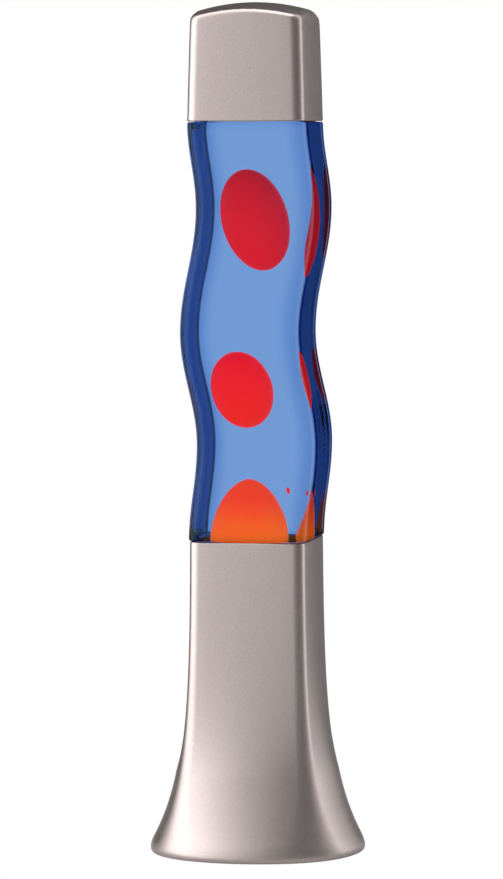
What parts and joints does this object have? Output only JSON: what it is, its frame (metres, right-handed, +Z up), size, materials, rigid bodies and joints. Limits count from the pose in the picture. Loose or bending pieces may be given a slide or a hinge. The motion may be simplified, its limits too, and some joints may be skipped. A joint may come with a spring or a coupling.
{
  "type": "lava lamp",
  "caption": "Tall wax-motion mood lamp: flared silver base, wavy square glass bottle of blue liquid with red wax, lift-off silver cap.",
  "frame": {"origin": "centre of the feet's undersides, on the floor", "axes": "+Z up along the lamp, -Y out of the flat front face, +X to the viewer's right"},
  "size_m": [0.104, 0.104, 0.42],
  "materials": {
    "satin_silver": "satin silver metallic paint",
    "steel": "plated steel",
    "brass": "brass",
    "aluminium": "bright aluminium",
    "black_plastic": "matt black heat-resistant plastic",
    "rubber": "soft black rubber",
    "ceramic": "white glazed ceramic",
    "brown_insulation": "brown wire insulation",
    "blue_insulation": "blue wire insulation",
    "bottle_glass": "blue-tinted polished glass",
    "bulb_glass": "lightly frosted glass",
    "blue_liquid": "clear blue-tinted liquid",
    "wax_orange": "molten orange wax, lit from below",
    "wax_red": "red wax",
    "wax_dark_red": "deep red wax",
    "tungsten": "drawn tungsten wire",
    "liner": "pale sealing liner"
  },
  "bodies": {
    "base": {"base_shell": "satin_silver", "bottom_plate": "black_plastic", "plate_screw_1": "steel", "plate_screw_2": "steel", "plate_screw_3": "steel", "plate_screw_4": "steel", "rubber_foot_1": "rubber", "rubber_foot_2": "rubber", "rubber_foot_3": "rubber", "rubber_foot_4": "rubber", "cord_bushing": "rubber", "globe_seat": "black_plastic", "heat_shield": "aluminium", "seat_screw_1": "steel", "seat_screw_2": "steel", "socket_bracket": "steel", "bracket_screw_1": "steel", "bracket_screw_2": "steel", "bracket_nut_1": "steel", "bracket_nut_2": "steel", "socket_screw_1": "steel", "socket_screw_2": "steel", "socket_body": "ceramic", "socket_screw_shell": "brass", "socket_centre_contact": "brass", "socket_side_terminal": "brass", "lead_wire_centre": "brown_insulation", "lead_wire_side": "blue_insulation"},
    "bulb_tip": {"bulb_contact": "brass", "bulb_insulator": "black_plastic"},
    "bulb": {"bulb_glass": "bulb_glass", "bulb_screw_shell": "brass", "bulb_stem": "bottle_glass", "bulb_lead_left": "steel", "bulb_lead_right": "steel", "filament": "tungsten"},
    "globe": {"glass_globe": "bottle_glass", "liquid": "blue_liquid", "wax_mound": "wax_orange", "wax_coil": "steel", "crown_liner": "liner", "crown_cap": "steel"},
    "wax_upper": {"wax_upper_blob": "wax_dark_red"},
    "wax_middle": {"wax_middle_blob": "wax_red"},
    "wax_bead": {"wax_droplet": "wax_red"},
    "cap": {"top_cap": "satin_silver"}
  },
  "joints": [
    {"name": "globe_lift", "type": "slide", "parent": "base", "child": "globe", "axis": [0, 0, 1], "range_m": [0, 0.04]},
    {"name": "cap_lift", "type": "slide", "parent": "globe", "child": "cap", "axis": [0, 0, 1], "range_m": [0, 0.045]},
    {"name": "bulb_travel", "type": "slide", "parent": "base", "child": "bulb_tip", "axis": [0, 0, 1], "range_m": [0, 0.0129]},
    {"name": "bulb_turn", "type": "hinge", "parent": "bulb_tip", "child": "bulb", "pos_m": [0, 0, 0.05], "axis": [0, 0, 1], "range_deg": [0, 1620]},
    {"name": "wax_upper_drift", "type": "slide", "parent": "globe", "child": "wax_upper", "axis": [0, 0, 1], "range_m": [-0.018, 0.015], "deforming": ["liquid"]},
    {"name": "wax_middle_drift", "type": "slide", "parent": "globe", "child": "wax_middle", "axis": [0, 0, 1], "range_m": [-0.015, 0.018], "deforming": ["liquid"]},
    {"name": "wax_droplet_drift", "type": "slide", "parent": "globe", "child": "wax_bead", "axis": [0, 0, 1], "range_m": [-0.01, 0.02], "deforming": ["liquid"]}
  ],
  "couplings": [
    {"joint": "bulb_travel", "follows": "bulb_turn", "m_per_rad": 0.00044913}
  ]
}
